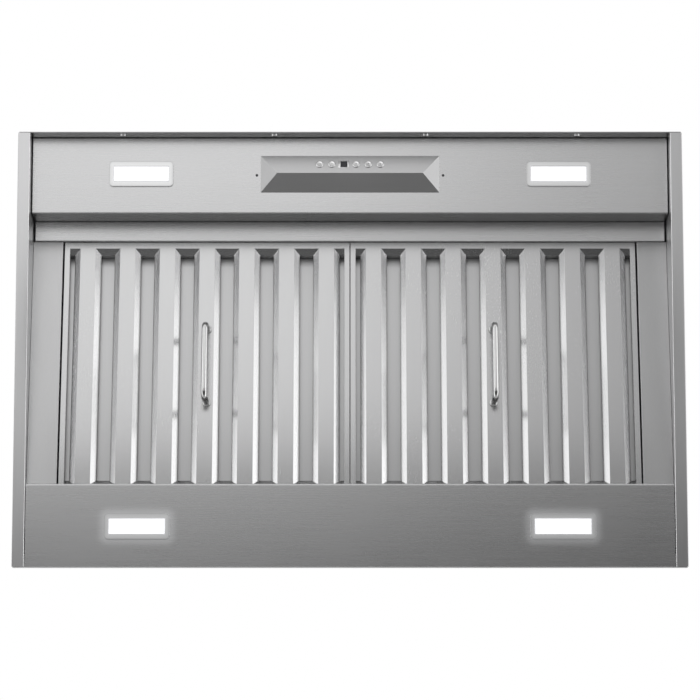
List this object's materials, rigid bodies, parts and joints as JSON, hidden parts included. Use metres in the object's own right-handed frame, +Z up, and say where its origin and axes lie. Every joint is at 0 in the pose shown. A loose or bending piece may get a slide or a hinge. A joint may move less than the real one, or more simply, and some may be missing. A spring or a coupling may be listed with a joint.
{
  "type": "range hood insert",
  "caption": "Built-in range hood insert: shallow steel tray with sloping baffle filters, lamps, a push-button pod and a blower box with a round damped duct collar.",
  "frame": {"origin": "centre of the lower rim: bottom centre of the bounding box", "axes": "+X to the right seen from the front, +Z up, the front with the buttons faces -Y"},
  "size_m": [0.874, 0.578, 0.362],
  "materials": {
    "steel": "brushed",
    "baffle_steel": "satin, fine brushed",
    "polished_steel": "polished",
    "galvanised_steel": "dull galvanised",
    "lamp_metal": "satin",
    "lamp_lens": "frosted, lit",
    "display": "dark window",
    "circuit_board": "lacquered board",
    "black_plastic": "moulded",
    "motor_paint": "semi-matt paint"
  },
  "bodies": {
    "hood_body": {"left_side_panel": "steel", "right_side_panel": "steel", "front_wall": "steel", "rear_wall": "steel", "front_light_panel": "steel", "ledge_strip": "steel", "rear_light_panel": "steel", "left_filler_plate": "steel", "right_filler_plate": "steel", "pod_cover": "steel", "left_filter_clip": "polished_steel", "right_filter_clip": "polished_steel", "damper_pin": "polished_steel", "top_deck": "galvanised_steel", "rear_filter_rail": "galvanised_steel", "casing_front": "galvanised_steel", "casing_rear": "galvanised_steel", "casing_left": "galvanised_steel", "casing_right": "galvanised_steel", "casing_top": "galvanised_steel", "scroll_wrap": "galvanised_steel", "scroll_left_plate": "galvanised_steel", "scroll_right_plate": "galvanised_steel", "motor_bracket": "galvanised_steel", "collar_flange": "galvanised_steel", "duct_collar": "galvanised_steel", "junction_box": "galvanised_steel", "junction_box_cover": "galvanised_steel", "front_left_lamp_body": "lamp_metal", "front_right_lamp_body": "lamp_metal", "rear_left_lamp_body": "lamp_metal", "rear_right_lamp_body": "lamp_metal", "front_left_lamp_lens": "lamp_lens", "front_right_lamp_lens": "lamp_lens", "rear_left_lamp_lens": "lamp_lens", "rear_right_lamp_lens": "lamp_lens", "display_window": "display", "control_board": "circuit_board", "power_module": "black_plastic", "capacitor": "black_plastic", "cable_gland": "black_plastic", "motor_body": "motor_paint"},
    "left_filter": {"left_filter_frame": "steel", "left_filter_front_baffles": "baffle_steel", "left_filter_rear_baffles": "baffle_steel", "left_filter_handle": "polished_steel"},
    "right_filter": {"right_filter_frame": "steel", "right_filter_front_baffles": "baffle_steel", "right_filter_rear_baffles": "baffle_steel", "right_filter_handle": "polished_steel"},
    "power_button": {"power_button": "polished_steel"},
    "lower_speed_button": {"lower_speed_button": "polished_steel"},
    "higher_speed_button": {"higher_speed_button": "polished_steel"},
    "timer_button": {"timer_button": "polished_steel"},
    "light_button": {"light_button": "polished_steel"},
    "blower_wheel": {"impeller": "galvanised_steel", "motor_shaft": "polished_steel"},
    "front_damper": {"front_damper_flap": "galvanised_steel"},
    "rear_damper": {"rear_damper_flap": "galvanised_steel"}
  },
  "joints": [
    {"name": "left_filter_drop", "type": "hinge", "parent": "hood_body", "child": "left_filter", "pos_m": [-0.18975, 0.187, 0.0141], "axis": [1, 0, 0], "range_deg": [0, 35]},
    {"name": "right_filter_drop", "type": "hinge", "parent": "hood_body", "child": "right_filter", "pos_m": [0.18975, 0.187, 0.0141], "axis": [1, 0, 0], "range_deg": [0, 35]},
    {"name": "power_button_press", "type": "slide", "parent": "hood_body", "child": "power_button", "axis": [0, 0.3105, 0.9506], "range_m": [0, 0.0015], "stiffness_N_per_m": 800, "springref_m": -0.0015},
    {"name": "lower_speed_button_press", "type": "slide", "parent": "hood_body", "child": "lower_speed_button", "axis": [0, 0.3105, 0.9506], "range_m": [0, 0.0015], "stiffness_N_per_m": 800, "springref_m": -0.0015},
    {"name": "higher_speed_button_press", "type": "slide", "parent": "hood_body", "child": "higher_speed_button", "axis": [0, 0.3105, 0.9506], "range_m": [0, 0.0015], "stiffness_N_per_m": 800, "springref_m": -0.0015},
    {"name": "timer_button_press", "type": "slide", "parent": "hood_body", "child": "timer_button", "axis": [0, 0.3105, 0.9506], "range_m": [0, 0.0015], "stiffness_N_per_m": 800, "springref_m": -0.0015},
    {"name": "light_button_press", "type": "slide", "parent": "hood_body", "child": "light_button", "axis": [0, 0.3105, 0.9506], "range_m": [0, 0.0015], "stiffness_N_per_m": 800, "springref_m": -0.0015},
    {"name": "blower_spin", "type": "hinge", "parent": "hood_body", "child": "blower_wheel", "pos_m": [0, -0.065, 0.222], "axis": [1, 0, 0], "continuous": true},
    {"name": "front_damper_lift", "type": "hinge", "parent": "hood_body", "child": "front_damper", "pos_m": [0, 0, 0.334], "axis": [-1, 0, 0], "range_deg": [0, 80]},
    {"name": "rear_damper_lift", "type": "hinge", "parent": "hood_body", "child": "rear_damper", "pos_m": [0, 0, 0.334], "axis": [1, 0, 0], "range_deg": [0, 80]}
  ]
}
